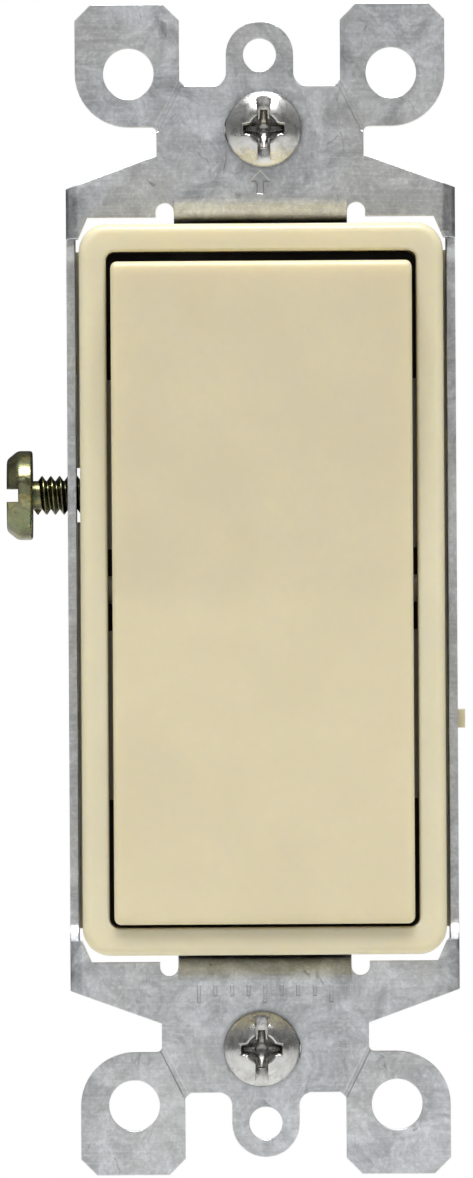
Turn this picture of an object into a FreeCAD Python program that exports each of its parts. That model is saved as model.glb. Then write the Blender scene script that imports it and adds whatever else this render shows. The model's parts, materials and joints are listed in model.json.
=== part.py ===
"""Rocker wall switch (single pole): a stamped steel strap, an ivory frame and rocker, and a two-shell
housing with the snap mechanism, terminals and screws.

Frame: millimetres, +X to the right, +Y into the wall, +Z up. The origin is the middle of the strap's back
face, which is the plane that lies on the wall box. The rest pose is OFF: the rocker's lower half is pressed.
"""

import FreeCAD, Part
import Sketcher
import math
import os
import re

Vector = FreeCAD.Vector
X_AXIS = Vector(1, 0, 0)

# ---------------------------------------------------------------- driving dimensions (mm and degrees)
SIZES = {
    # strap
    "sheet": 0.8,                 # thickness of the strap's steel
    "side_bend": 1.3,             # outer radius where a wing turns back into a rail
    "rail_front": 2.0,            # front edge of the side rails, behind the strap's back face
    "rail_back": 8.6,             # rear edge of the side rails
    "window_corner": 2.4,         # radius where a rail's edge runs up into the wing
    "gusset_drop": 2.5,           # the sheet left across each corner of the window, down the rail
    "gusset_width": 1.15,
    "wing_height": 5.6,           # from the window's end to the neck's shoulder
    "wing_drop": 3.0,             # fall of the wing's sloped edge, from the neck to the rail
    "neck_width": 18.76,
    "plate_hole_reach": 14.68,    # from the window's end to the wall-plate screw hole
    "hole_step": 6.75,            # from the wall-plate hole back to the box screw
    "plate_hole": 3.0,            # diameter, tapped for a 6-32 screw
    "box_slot_width": 4.1,
    "box_slot_length": 6.4,
    "tab_radius": 3.05,
    "tab_length": 2.8,            # from the recess edge to the wall-plate hole
    "tab_fillet": 1.2,
    "ear_hole": 4.6,              # diameter
    "ear_hole_x": 11.9,
    "ear_hole_drop": 1.66,        # from the wall-plate hole in towards the middle
    "ear_round": 4.85,            # radius of the ear about its hole
    "ear_width": 9.45,
    "ear_reach": 4.63,            # from the wall-plate hole out to the strap's end
    "ear_chamfer": 1.45,
    "score_width": 0.5,
    "score_depth": 0.12,
    "tongue_width": 15.7,
    "tongue_rise": 1.76,          # from the window's end to the tongue's bend line
    "tongue_back": 9.4,
    "notch_width": 1.65,
    "notch_rise": 1.3,
    "stamp_depth": 0.1,
    # frame
    "frame_width": 32.9,
    "frame_height": 66.1,
    "frame_corner": 2.5,
    "frame_proud": 5.6,           # front face above the strap's front face
    "frame_rear": 0.6,
    "frame_edge": 0.8,            # rounding of the front edge
    "frame_side_gap": 0.4,        # frame to side rail
    "frame_end_gap": 0.69,        # frame to the window's end
    "tongue_gap": 0.15,           # frame and housing ends to the strap's tongues
    "rim_side": 2.45,
    "rim_end": 2.52,
    "opening_corner": 0.8,
    "ledge_width": 0.9,
    "ledge_front": -2.0,
    "ledge_near": 3.7,            # the ledges run between these heights, above and below the pivot
    "ledge_far": 19.0,
    "leg_thick": 0.95,
    "leg_width": 5.0,
    "leg_back": 7.4,
    "latch_low": 11.85,           # height of the lower latches, below the middle
    "latch_high": 20.5,           # height of the upper latches, above the middle
    "stringer_front": 3.9,        # the strips that join the legs, along the rails' inner faces
    "stringer_depth": 1.0,
    "latch_y": 5.4,
    "latch_depth": 1.9,
    "latch_width": 1.7,
    "latch_proud": 0.7,           # how far the long latch stands out of the right rail
    "latch_clear": 0.15,
    # rocker
    "half_throw": 3.0,            # degrees either side of the middle
    "rocker_vertex": 5.4,         # from the pivot to the bottom of the front's shallow V
    "rocker_proud": 0.9,          # pressed half above the frame's front face
    "rocker_side_gap": 0.42,
    "rocker_end_gap": 0.22,
    "rocker_wall": 1.7,
    "rocker_side_wall": 1.4,
    "rocker_skirt": 0.2,          # rear edge of the end walls, behind the pivot
    "rocker_crown": 0.9,          # length of the sloped nose at each end
    "rocker_crown_drop": 0.14,
    "rocker_crown_radius": 4.0,
    "rocker_tip_radius": 0.6,
    "rocker_valley_radius": 17.0,
    "rocker_edge": 0.45,
    "rocker_corner": 0.7,         # of the paddle's outline, seen from the front
    "trunnion_radius": 1.25,
    "trunnion_reach": 1.0,        # length inside the frame's bearing
    "running_gap": 0.06,          # radial clearance of every pivot
    "blade_thick": 3.0,           # the rocker's drive blade, across
    "blade_height": 3.8,
    "pin_arm": 10.0,              # from the rocker's pivot to the drive pin
    "pin_radius": 1.0,
    # cradle
    "cradle_arm": 2.5,            # from the cradle's pivot to the drive pin
    "cradle_half": 3.0,           # half width of the cradle
    "cradle_hub": 2.6,
    "cradle_trunnion": 1.1,
    "cradle_post": 2.3,
    "cradle_post_length": 4.4,
    "plunger_bore": 1.45,
    "plunger_reach": 6.5,         # from the cradle's pivot to the centre of the plunger's tip
    "plunger_tip": 1.0,
    "plunger_gap": 0.05,          # plunger to contact arm when the cradle is upright
    "spring_wire": 0.3,
    "spring_radius": 0.72,
    "spring_pitch": 0.72,
    # contacts
    "arm_half_swing": 5.0,        # degrees
    "arm_front": 0.25,            # the arm's front face, ahead of its pivot
    "arm_sheet": 0.7,
    "arm_width": 5.0,
    "arm_up": 10.7,
    "arm_down": 9.6,
    "arm_trunnion": 0.7,
    "contact_z": 9.0,
    "contact_radius": 1.5,
    "contact_height": 0.6,
    "contact_gap": 0.04,          # left between the contacts when they meet
    "brass": 0.8,
    "ear_offset": 3.0,            # inner face of the fulcrum ears
    # housing
    "leg_gap": 0.15,              # frame's legs to the housing's sides
    "housing_height": 62.0,
    "housing_corner": 1.6,
    "housing_rear": 25.0,
    "housing_split": 3.6,
    "housing_front": 0.7,
    "cavity_half_width": 6.0,
    "cavity_half_height": 13.0,
    "bay_inner": 7.2,             # terminal bays, across
    "bay_wall": 2.4,              # housing wall outside the terminal bays
    "bay_low": 10.5,              # terminal bays, height from the middle
    "bay_high": 19.4,
    "bay_mouth_front": 10.4,
    "bay_mouth_back": 19.6,
    "divider_low": 2.3,
    "divider_high": 6.9,
    "floor_gap": 0.1,
    "lug_width": 5.8,
    "lug_depth": 2.4,
    "end_block_width": 14.0,
    "rivet_z": 25.5,
    "rivet_radius": 1.2,
    "rivet_head": 2.2,
    "rivet_head_height": 0.9,
    "wire_hole_step": 1.6,        # from the terminal plate in to the push-in hole
    "wire_hole_z": 11.95,
    "wire_hole_radius": 1.15,
    "wire_funnel_radius": 1.9,
    "wire_funnel_depth": 0.5,
    "release_slot_width": 1.0,
    "release_slot_length": 3.2,
    # screws
    "thread_pitch": 0.794,
    "terminal_thread": 2.05,      # major radius of the 8-32 terminal and ground screws
    "terminal_core": 1.58,
    "terminal_head": 4.05,
    "terminal_head_height": 2.35,
    "terminal_slot": 1.17,
    "terminal_slot_depth": 1.05,
    "terminal_screw_y": 15.0,
    "terminal_screw_z": 15.2,
    "terminal_shank": 5.2,
    "terminal_backed_out": 1.9,   # bearing face to the terminal plate, as shipped
    "ground_thread": 1.76,        # major radius of the 6-32 ground screw
    "ground_core": 1.32,
    "ground_y": 5.2,
    "ground_z": 8.65,
    "ground_shank": 6.0,
    "ground_backed_out": 3.2,
    "box_screw_radius": 1.75,     # 6-32 over the thread
    "box_screw_length": 19.0,
    "box_head_radius": 3.45,
    "box_head_height": 2.1,
    "box_slot": 1.15,
    "cross_reach": 1.95,          # of each arm of the cross recess, from the middle
    "cross_depth": 1.5,
    "cross_taper": 12.0,          # degrees, of the recess's walls
    "box_screw_shift": 0.35,      # how far each screw sits off the centre line in its slot
    "seat_gap": 0.05,
    "box_neck_radius": 1.5,       # plain neck under the head, as far as the fibre square
    "retainer_side": 7.0,
    "retainer_thick": 1.2,
    "retainer_gap": 0.1,
    "neck_gap": 0.15,             # from the fibre square to where the thread starts
}

# ---------------------------------------------------------------- sizes that follow from them
DERIVED = {
    "window_half": "frame_height / 2 + frame_end_gap",
    "rail_in": "frame_width / 2 + frame_side_gap",
    "rail_out": "rail_in + sheet",
    "neck_half": "neck_width / 2",
    "shoulder": "window_half + wing_height",
    "plate_hole_z": "window_half + plate_hole_reach",
    "box_hole_z": "plate_hole_z - hole_step",
    "strap_end": "plate_hole_z + ear_reach",
    "recess_z": "plate_hole_z - tab_length",
    "ear_hole_z": "plate_hole_z - ear_hole_drop",
    "ear_root": "ear_hole_z - ear_round",
    "ear_out": "ear_hole_x + ear_round",
    "ear_in": "ear_out - ear_width",
    "tongue_half": "tongue_width / 2",
    "tongue_bend": "window_half + tongue_rise",
    "tongue_in": "frame_height / 2 + tongue_gap",
    "frame_front": "-(sheet + frame_proud)",
    "opening_half_width": "frame_width / 2 - rim_side",
    "opening_half_height": "frame_height / 2 - rim_end",
    "throw": "half_throw * 1 deg",
    "pivot_y": "frame_front - rocker_proud + rocker_vertex * cos(throw)",
    "rocker_half_width": "opening_half_width - rocker_side_gap",
    "rocker_half": "(opening_half_height - rocker_end_gap - rocker_vertex * sin(throw)) * cos(throw)",
    "cradle_y": "pivot_y + pin_arm + cradle_arm",
    "arm_y": "cradle_y + plunger_reach + plunger_tip + plunger_gap + arm_front",
    "arm_back": "arm_sheet - arm_front",
    "leg_out": "frame_width / 2 - 0.15",
    "leg_in": "leg_out - leg_thick",
    "housing_half_width": "leg_in - leg_gap",
    "bay_outer": "housing_half_width - bay_wall",
    "housing_half_height": "housing_height / 2",
    "swing": "arm_half_swing * 1 deg",
    "contact_rise": "(arm_back + contact_height) * cos(swing) + (contact_z + contact_radius) * sin(swing)",
    "fixed_face": "arm_y + contact_rise + contact_gap",
    "strip_front": "fixed_face + contact_height",
    "strip_back": "strip_front + brass",
    "floor_y": "strip_back + floor_gap",
    "plate_in": "bay_outer - floor_gap - brass",
    "plate_out": "bay_outer - floor_gap",
    "wire_hole_x": "plate_in - wire_hole_step",
    "cradle_ratio": "pin_arm / cradle_arm",
    "retainer_back": "retainer_gap + retainer_thick",
}


# ---------------------------------------------------------------- document, sheet and expressions
doc = FreeCAD.newDocument("rocker_switch")
sheet = doc.addObject("Spreadsheet::Sheet", "Sizes")
for row, (alias, size) in enumerate(SIZES.items(), 1):
    sheet.set(f"A{row}", alias)
    sheet.set(f"B{row}", str(size))
    sheet.setAlias(f"B{row}", alias)
doc.recompute()

WORD = re.compile(r"[A-Za-z_][A-Za-z_0-9]*")


def bind(expression):
    """An expression in the document's own terms, with derived names written out and sheet names in full."""
    def named(match):
        word = match.group(0)
        if word in DERIVED:
            return "(" + bind(DERIVED[word]) + ")"
        return "Sizes." + word if word in SIZES else word

    return WORD.sub(named, str(expression))


def value(expression):
    """The number that an expression has now."""
    result = sheet.evalExpression(bind(expression))
    return float(getattr(result, "Value", result))


def negative(expression):
    return f"-({expression})"


def signed(sign, expression):
    """The expression itself, or its negative."""
    return f"({expression})" if sign > 0 else f"-({expression})"


# ---------------------------------------------------------------- sketches
def place_point(sketch, geometry, point, x, y):
    """Fixes one point of the sketch at (x, y), each an expression."""
    for kind, other_axis, expression in (("DistanceX", -2, x), ("DistanceY", -1, y)):
        number = value(expression)
        if abs(number) < 1e-9:
            sketch.addConstraint(Sketcher.Constraint("PointOnObject", geometry, point, other_axis))
        else:
            index = sketch.addConstraint(Sketcher.Constraint(kind, -1, 1, geometry, point, number))
            sketch.setExpression(f"Constraints[{index}]", bind(expression))


def corner_arc(before, corner, after, radius):
    """Where a tangent arc starts and ends at a corner, and its centre."""
    back, ahead = (before - corner).normalize(), (after - corner).normalize()
    half = back.getAngle(ahead) / 2
    middle = (back + ahead).normalize()
    reach = radius / math.tan(half)
    return corner + back * reach, corner + ahead * reach, corner + middle * (radius / math.sin(half))


def outline(sketch, corners):
    """A closed outline through (x, y) or (x, y, radius) corners, with a tangent arc at each rounded one."""
    count = len(corners)
    spots = [Vector(value(c[0]), value(c[1]), 0) for c in corners]
    starts, ends, arcs = [], [], {}
    for i, corner in enumerate(corners):
        if len(corner) == 3:
            radius = value(corner[2])
            first, last, centre = corner_arc(spots[i - 1], spots[i], spots[(i + 1) % count], radius)
            arcs[i] = (first, last, centre, radius)
        else:
            first = last = spots[i]
        ends.append(first)
        starts.append(last)
    lines = [
        sketch.addGeometry(Part.LineSegment(starts[i], ends[(i + 1) % count]), False) for i in range(count)
    ]
    for i, corner in enumerate(corners):
        incoming, outgoing = lines[i - 1], lines[i]
        if i not in arcs:
            sketch.addConstraint(Sketcher.Constraint("Coincident", incoming, 2, outgoing, 1))
            place_point(sketch, outgoing, 1, corner[0], corner[1])
            continue
        first, last, centre, radius = arcs[i]
        turn = (first - centre).cross(last - centre).z
        begin, finish = (first, last) if turn > 0 else (last, first)
        angles = [math.atan2(p.y - centre.y, p.x - centre.x) for p in (begin, finish)]
        circle = Part.Circle(centre, Vector(0, 0, 1), radius)
        arc = sketch.addGeometry(Part.ArcOfCircle(circle, *angles), False)
        near, far = (1, 2) if turn > 0 else (2, 1)
        point = sketch.addGeometry(Part.Point(spots[i]), True)
        place_point(sketch, point, 1, corner[0], corner[1])
        sketch.addConstraint(Sketcher.Constraint("PointOnObject", point, 1, incoming))
        sketch.addConstraint(Sketcher.Constraint("PointOnObject", point, 1, outgoing))
        sketch.addConstraint(Sketcher.Constraint("Tangent", incoming, 2, arc, near))
        sketch.addConstraint(Sketcher.Constraint("Tangent", arc, far, outgoing, 1))
        index = sketch.addConstraint(Sketcher.Constraint("Radius", arc, radius))
        sketch.setExpression(f"Constraints[{index}]", bind(corner[2]))


def circle(sketch, x, y, radius):
    centre = Vector(value(x), value(y), 0)
    ring = sketch.addGeometry(Part.Circle(centre, Vector(0, 0, 1), value(radius)), False)
    place_point(sketch, ring, 3, x, y)
    index = sketch.addConstraint(Sketcher.Constraint("Radius", ring, value(radius)))
    sketch.setExpression(f"Constraints[{index}]", bind(radius))


def box(x_low, x_high, y_low, y_high, radius=None):
    """The corners of an upright rectangle, rounded if a radius is given."""
    corners = [(x_low, y_low), (x_high, y_low), (x_high, y_high), (x_low, y_high)]
    return corners if radius is None else [(x, y, radius) for x, y in corners]


def centred(half_width, half_height, radius=None):
    return box(negative(half_width), half_width, negative(half_height), half_height, radius)


def draw(sketch, shapes):
    """Each shape is a list of corners, or a tuple (x, y, radius) for a circle."""
    for shape in shapes:
        if isinstance(shape, tuple):
            circle(sketch, *shape)
        else:
            outline(sketch, shape)


# ---------------------------------------------------------------- features
PLANE_ROLE = {"front": "XZ_Plane", "top": "XY_Plane", "side": "YZ_Plane"}


def new_body(label):
    body = doc.addObject("PartDesign::Body", label)
    body.Label = label
    return body


def new_sketch(body, name, plane, shapes, offset="0"):
    """A sketch on one of the body's origin planes, moved along the plane's normal by offset.
    front: sketch x, y are X, Z and the normal is -Y; top: X, Y and +Z; side: Y, Z and +X."""
    sketch = body.newObject("Sketcher::SketchObject", f"{body.Name}_{name}_sketch")
    role = PLANE_ROLE[plane]
    support = next(o for o in body.Origin.OriginFeatures if o.Role == role)
    sketch.AttachmentSupport = (support, [""])
    sketch.MapMode = "FlatFace"
    if offset != "0":
        sketch.AttachmentOffset = FreeCAD.Placement(Vector(0, 0, value(offset)), FreeCAD.Rotation())
        sketch.setExpression("AttachmentOffset.Base.z", bind(offset))
    draw(sketch, shapes)
    return sketch


def volume(body):
    return body.Shape.Volume if body.Tip else 0.0


def settle(body, feature, before, grows):
    """Recomputes, and stops if the feature failed or changed the body the wrong way."""
    doc.recompute()
    change = volume(body) - before
    bad = {"Invalid", "Error"} & set(feature.State)
    if bad or (grows is not None and (change > 1e-6) != grows) or abs(change) < 1e-6:
        raise RuntimeError(f"{feature.Name}: state {feature.State}, volume change {change:.4f}")
    return feature


def slab(body, name, plane, low, high, shapes, cut=False, taper=None):
    """Pads or pockets the shapes between two world positions along the plane's axis (Y, Z or X)."""
    if plane == "front":
        offset = negative(low) if cut else negative(high)
    else:
        offset = high if cut else low
    before = volume(body)
    sketch = new_sketch(body, name, plane, shapes, offset)
    kind = "PartDesign::Pocket" if cut else "PartDesign::Pad"
    feature = body.newObject(kind, f"{body.Name}_{name}")
    feature.Profile = sketch
    feature.Length = value(f"({high}) - ({low})")
    feature.setExpression("Length", bind(f"({high}) - ({low})"))
    if taper:
        feature.setExpression("TaperAngle", bind(taper))
    return settle(body, feature, before, not cut)


def revolve(body, name, plane, corners, axis):
    """Turns a closed outline about the sketch's own horizontal (H_Axis) or vertical (V_Axis) axis."""
    before = volume(body)
    sketch = new_sketch(body, name, plane, [corners])
    feature = body.newObject("PartDesign::Revolution", f"{body.Name}_{name}")
    feature.Profile = sketch
    feature.ReferenceAxis = (sketch, [axis])
    feature.Angle = 360.0
    return settle(body, feature, before, True)


def groove(body, name, plane, corners, axis):
    """Cuts away a closed outline turned about the sketch's own H_Axis or V_Axis."""
    before = volume(body)
    sketch = new_sketch(body, name, plane, [corners])
    feature = body.newObject("PartDesign::Groove", f"{body.Name}_{name}")
    feature.Profile = sketch
    feature.ReferenceAxis = (sketch, [axis])
    feature.Angle = 360.0
    return settle(body, feature, before, False)


def round_edges(body, name, radius, wanted):
    """Fillets the edges of the body for which wanted(edge) is true."""
    before = volume(body)
    base = body.Tip
    names = [f"Edge{i}" for i, edge in enumerate(base.Shape.Edges, 1) if wanted(edge)]
    if not names:
        raise RuntimeError(f"{body.Name}_{name}: no edge to round")
    feature = body.newObject("PartDesign::Fillet", f"{body.Name}_{name}")
    feature.Base = (base, names)
    feature.Radius = value(radius)
    feature.setExpression("Radius", bind(radius))
    return settle(body, feature, before, None)


def near(a, b, tolerance=1e-4):
    return abs(a - b) < tolerance


def along(edge, axis):
    """True if the edge is a straight one along X, Y or Z."""
    ends = [v.Point for v in edge.Vertexes]
    if len(ends) != 2:
        return False
    delta = ends[1] - ends[0]
    others = [abs(getattr(delta, a)) for a in "xyz" if a != axis]
    return max(others) < 1e-6 and abs(getattr(delta, axis)) > 1e-6


def put(item, y, angle="0"):
    """Places an object on the middle plane at depth y, turned about X by an angle in degrees."""
    item.Placement = FreeCAD.Placement(Vector(0, value(y), 0), FreeCAD.Rotation(X_AXIS, value(angle)))
    item.setExpression("Placement.Base.y", bind(y))
    item.setExpression("Placement.Rotation.Angle", bind(f"({angle}) * 1 deg"))


# ---------------------------------------------------------------- strap
def end_plate(sign):
    """Outline of one end of the strap: the neck and its two ears."""
    half = [
        ("neck_half", "shoulder - 1"),
        ("neck_half", "ear_root", "0.5"),
        ("ear_out", "ear_root", "ear_round - 0.005"),
        ("ear_out", "strap_end - ear_chamfer"),
        ("ear_out - ear_chamfer", "strap_end"),
        ("ear_in + ear_chamfer", "strap_end"),
        ("ear_in", "strap_end - ear_chamfer"),
        ("ear_in", "recess_z + 0.5"),
        ("ear_in - 0.5", "recess_z"),
    ]
    right = [(c[0], signed(sign, c[1]), *c[2:]) for c in half]
    left = [(negative(c[0]), signed(sign, c[1]), *c[2:]) for c in reversed(half)]
    return right + left


def score_line(side, sign):
    """Outline of the groove along which an ear snaps off."""
    corners = [
        ("ear_in - 0.6", "recess_z + 0.8"),
        ("ear_in - 0.6 + score_width", "recess_z + 0.8"),
        ("neck_half - 0.2 + score_width", "ear_root - 0.4"),
        ("neck_half - 0.2", "ear_root - 0.4"),
    ]
    return [(signed(side, x), signed(sign, z)) for x, z in corners]


def make_strap():
    strap = new_body("strap")
    channel = [
        ("-rail_out", "rail_back"),
        ("-rail_out", "-sheet", "side_bend"),
        ("rail_out", "-sheet", "side_bend"),
        ("rail_out", "rail_back"),
        ("rail_in", "rail_back"),
        ("rail_in", "0", "side_bend - sheet"),
        ("-rail_in", "0", "side_bend - sheet"),
        ("-rail_in", "rail_back"),
    ]
    slab(strap, "channel", "top", "-shoulder", "shoulder", [channel])
    trimmed = "window_half - gusset_drop + 0.6"
    rail_fronts = [
        ("-sheet - 2", f"-({trimmed})"),
        ("-sheet - 2", trimmed),
        ("rail_front", trimmed, "window_corner"),
        ("rail_front", f"-({trimmed})", "window_corner"),
    ]
    slab(strap, "rail_fronts", "side", "-rail_out - 1", "rail_out + 1", [rail_fronts], cut=True)
    quarter = [("rail_in - 0.05", "window_half - gusset_drop"), ("rail_in - gusset_width", "window_half")]
    window = quarter + [(negative(x), z) for x, z in reversed(quarter)]
    window += [(negative(x), negative(z)) for x, z in quarter]
    window += [(x, negative(z)) for x, z in reversed(quarter)]
    slab(strap, "window", "front", "-sheet - 1", "rail_front", [window], cut=True)
    slope = "wing_drop / (rail_out - neck_half) * (rail_out + 1 - neck_half)"
    wings = []
    for side in (1, -1):
        for sign in (1, -1):
            corners = [
                ("neck_half", "shoulder"),
                ("rail_out + 1", f"shoulder - {slope}"),
                ("rail_out + 1", "shoulder + 1"),
                ("neck_half", "shoulder + 1"),
            ]
            wings.append([(signed(side, x), signed(sign, z)) for x, z in corners])
    slab(strap, "wings", "front", "-sheet - 1", "rail_back + 1", wings, cut=True)
    slab(strap, "ends", "front", "-sheet", "0", [end_plate(1), end_plate(-1)])
    tabs = []
    for sign in (1, -1):
        top, root = signed(sign, "plate_hole_z + tab_radius"), signed(sign, "recess_z - 1")
        tabs.append([
            ("tab_radius", root),
            ("tab_radius", top, "tab_radius - 0.005"),
            ("-tab_radius", top, "tab_radius - 0.005"),
            ("-tab_radius", root),
        ])
    slab(strap, "tabs", "front", "-sheet", "0", tabs)
    tab_half, recess = value("tab_radius"), value("recess_z")
    round_edges(strap, "tab_roots", "tab_fillet", lambda e: along(e, "y")
                and near(abs(e.Vertexes[0].X), tab_half) and near(abs(e.Vertexes[0].Z), recess))
    cut_strap_holes(strap)
    bend_tongues(strap)
    stamp_strap(strap)
    return strap


def cut_strap_holes(strap):
    holes, slots = [], []
    for sign in (1, -1):
        holes.append(("0", signed(sign, "plate_hole_z"), "plate_hole / 2"))
        for side in (1, -1):
            holes.append((signed(side, "ear_hole_x"), signed(sign, "ear_hole_z"), "ear_hole / 2"))
        slots.append(box(
            "-box_slot_length / 2", "box_slot_length / 2",
            signed(sign, "box_hole_z") + " - box_slot_width / 2",
            signed(sign, "box_hole_z") + " + box_slot_width / 2",
            "box_slot_width / 2 - 0.005",
        ))
    slab(strap, "holes", "front", "-sheet - 1", "1", holes, cut=True)
    slab(strap, "slots", "front", "-sheet - 1", "1", slots, cut=True)
    bore = [("ground_y", "ground_z", "ground_thread + running_gap")]
    slab(strap, "ground_bore", "side", "-rail_out - 1", "-rail_in + 1", bore, cut=True)
    windows = []
    for z in ("-latch_low", "latch_high"):
        half = "latch_width / 2 + latch_clear"
        reach = "latch_depth / 2 + latch_clear"
        windows.append(box(f"latch_y - ({reach})", f"latch_y + {reach}", f"{z} - ({half})", f"{z} + {half}"))
    slab(strap, "latch_windows", "side", "-rail_out - 1", "rail_out + 1", windows, cut=True)


def bend_tongues(strap):
    """The two tongues that turn back at the window's ends and hold the housing."""
    openings, notches, tongues, locks = [], [], [], []
    for sign in (1, -1):
        low, high = sorted((signed(sign, "window_half - 1"), signed(sign, "tongue_bend")), key=value)
        openings.append(box("-tongue_half", "tongue_half", low, high))
        for side in (1, -1):
            near_edge, far_edge = signed(side, "tongue_half"), signed(side, "tongue_half + notch_width")
            base, top = signed(sign, "window_half - 1"), signed(sign, "window_half + notch_rise")
            radius = "notch_width / 2 - 0.005"
            notches.append([(near_edge, base), (near_edge, top, radius), (far_edge, top, radius),
                            (far_edge, base)])
        radius = "tongue_bend - tongue_in"
        tongues.append([
            ("-sheet", signed(sign, "tongue_bend + 0.5")),
            ("-sheet", signed(sign, "tongue_in"), radius),
            ("tongue_back", signed(sign, "tongue_in")),
            ("tongue_back", signed(sign, "tongue_in + sheet")),
            ("0", signed(sign, "tongue_in + sheet"), f"{radius} - sheet"),
            ("0", signed(sign, "tongue_bend + 0.5")),
        ])
    slab(strap, "tongue_openings", "front", "-sheet - 1", "1", openings, cut=True)
    slab(strap, "notches", "front", "-sheet - 1", "1", notches, cut=True)
    slab(strap, "tongues", "side", "-tongue_half", "tongue_half", tongues)
    half_width = "lug_width / 2 + latch_clear"
    lock = box(f"-({half_width})", half_width, "housing_split + 0.9 - latch_clear",
               "housing_split + 0.9 + lug_depth + latch_clear")
    for name, low, high in (("lock_top", "tongue_in - 1", "tongue_in + sheet + 1"),
                            ("lock_bottom", "-tongue_in - sheet - 1", "-tongue_in + 1")):
        slab(strap, name, "top", low, high, [lock], cut=True)


def stamp_strap(strap):
    """Score lines on both faces of the ears, an up arrow and a row of plain ticks."""
    scores = [score_line(side, sign) for side in (1, -1) for sign in (1, -1)]
    slab(strap, "scores_front", "front", "-sheet - 1", "-sheet + score_depth", scores, cut=True)
    slab(strap, "scores_back", "front", "-score_depth", "1", scores, cut=True)
    foot = "tongue_bend + 0.35"
    arrow = [("-0.3", foot), ("0.3", foot), ("0.3", f"{foot} + 1.1"), ("0.9", f"{foot} + 1.1"),
             ("0", f"{foot} + 2.1"), ("-0.9", f"{foot} + 1.1"), ("-0.3", f"{foot} + 1.1")]
    marks = [arrow]
    for i in range(9):
        x = (i - 4) * 1.5
        height = 1.6 if i % 4 == 0 else 1.0
        marks.append(box(f"{x} - 0.15", f"{x} + 0.15", f"-({foot}) - {height}", f"-({foot})"))
    slab(strap, "marks", "front", "-sheet - 1", "-sheet + stamp_depth", marks, cut=True)


# ---------------------------------------------------------------- frame
def make_frame():
    frame = new_body("frame")
    slab(frame, "outer", "front", "frame_front", "frame_rear",
         [centred("frame_width / 2", "frame_height / 2", "frame_corner")])
    front = value("frame_front")
    round_edges(frame, "front_edge", "frame_edge", lambda e: all(near(v.Y, front) for v in e.Vertexes))
    slab(frame, "opening", "front", "frame_front - 1", "frame_rear + 1",
         [centred("opening_half_width", "opening_half_height", "opening_corner")], cut=True)
    inside_x, inside_z = value("opening_half_width"), value("opening_half_height")
    round_edges(frame, "opening_edge", "0.3", lambda e: all(
        near(v.Y, front) and abs(v.X) < inside_x + 0.01 and abs(v.Z) < inside_z + 0.01 for v in e.Vertexes))
    ledges = []
    for side in (1, -1):
        for sign in (1, -1):
            ledges.append([(signed(side, x), signed(sign, z)) for x, z in
                           box("opening_half_width - ledge_width", "opening_half_width + 0.5",
                               "ledge_near", "ledge_far")])
    slab(frame, "ledges", "front", "ledge_front", "frame_rear", ledges)
    legs = []
    for side in (1, -1):
        for z in ("-latch_low", "latch_high"):
            corners = box("leg_in", "leg_out", f"{z} - leg_width / 2", f"{z} + leg_width / 2")
            legs.append([(signed(side, x), y) for x, y in corners])
    slab(frame, "legs", "front", "frame_rear - 0.5", "leg_back", legs)
    rest, screw_room = "window_half - gusset_drop - 0.5", "ground_thread + 0.7"
    strips = [box("leg_in", "rail_in - 0.05", f"-({rest})", rest)]
    for low, high in ((f"-({rest})", f"ground_z - ({screw_room})"), (f"ground_z + ({screw_room})", rest)):
        strips.append(box("-(rail_in - 0.05)", "-leg_in", low, high))
    slab(frame, "stringers", "front", "stringer_front", "stringer_front + stringer_depth", strips)
    bearing = [("pivot_y", "0", "trunnion_radius + running_gap")]
    depth = "trunnion_reach + rocker_side_gap"
    slab(frame, "bearing_right", "side", "opening_half_width - 1", f"opening_half_width + {depth}",
         bearing, cut=True)
    slab(frame, "bearing_left", "side", f"-(opening_half_width + {depth})", "-opening_half_width + 1",
         bearing, cut=True)
    low_latch, high_latch = [
        box("latch_y - latch_depth / 2", "latch_y + latch_depth / 2",
            f"{z} - latch_width / 2", f"{z} + latch_width / 2")
        for z in ("-latch_low", "latch_high")
    ]
    slab(frame, "latch_long", "side", "leg_out - 0.3", "rail_out + latch_proud", [low_latch])
    slab(frame, "latch_right", "side", "leg_out - 0.3", "rail_out - 0.15", [high_latch])
    slab(frame, "latches_left", "side", "-rail_out + 0.15", "-leg_out + 0.3", [low_latch, high_latch])
    return frame


# ---------------------------------------------------------------- rocker
def rocker_front(z):
    """Depth of the rocker's front V at height z, from its pivot."""
    return f"-(rocker_vertex + ({z}) * tan(throw))"


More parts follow.
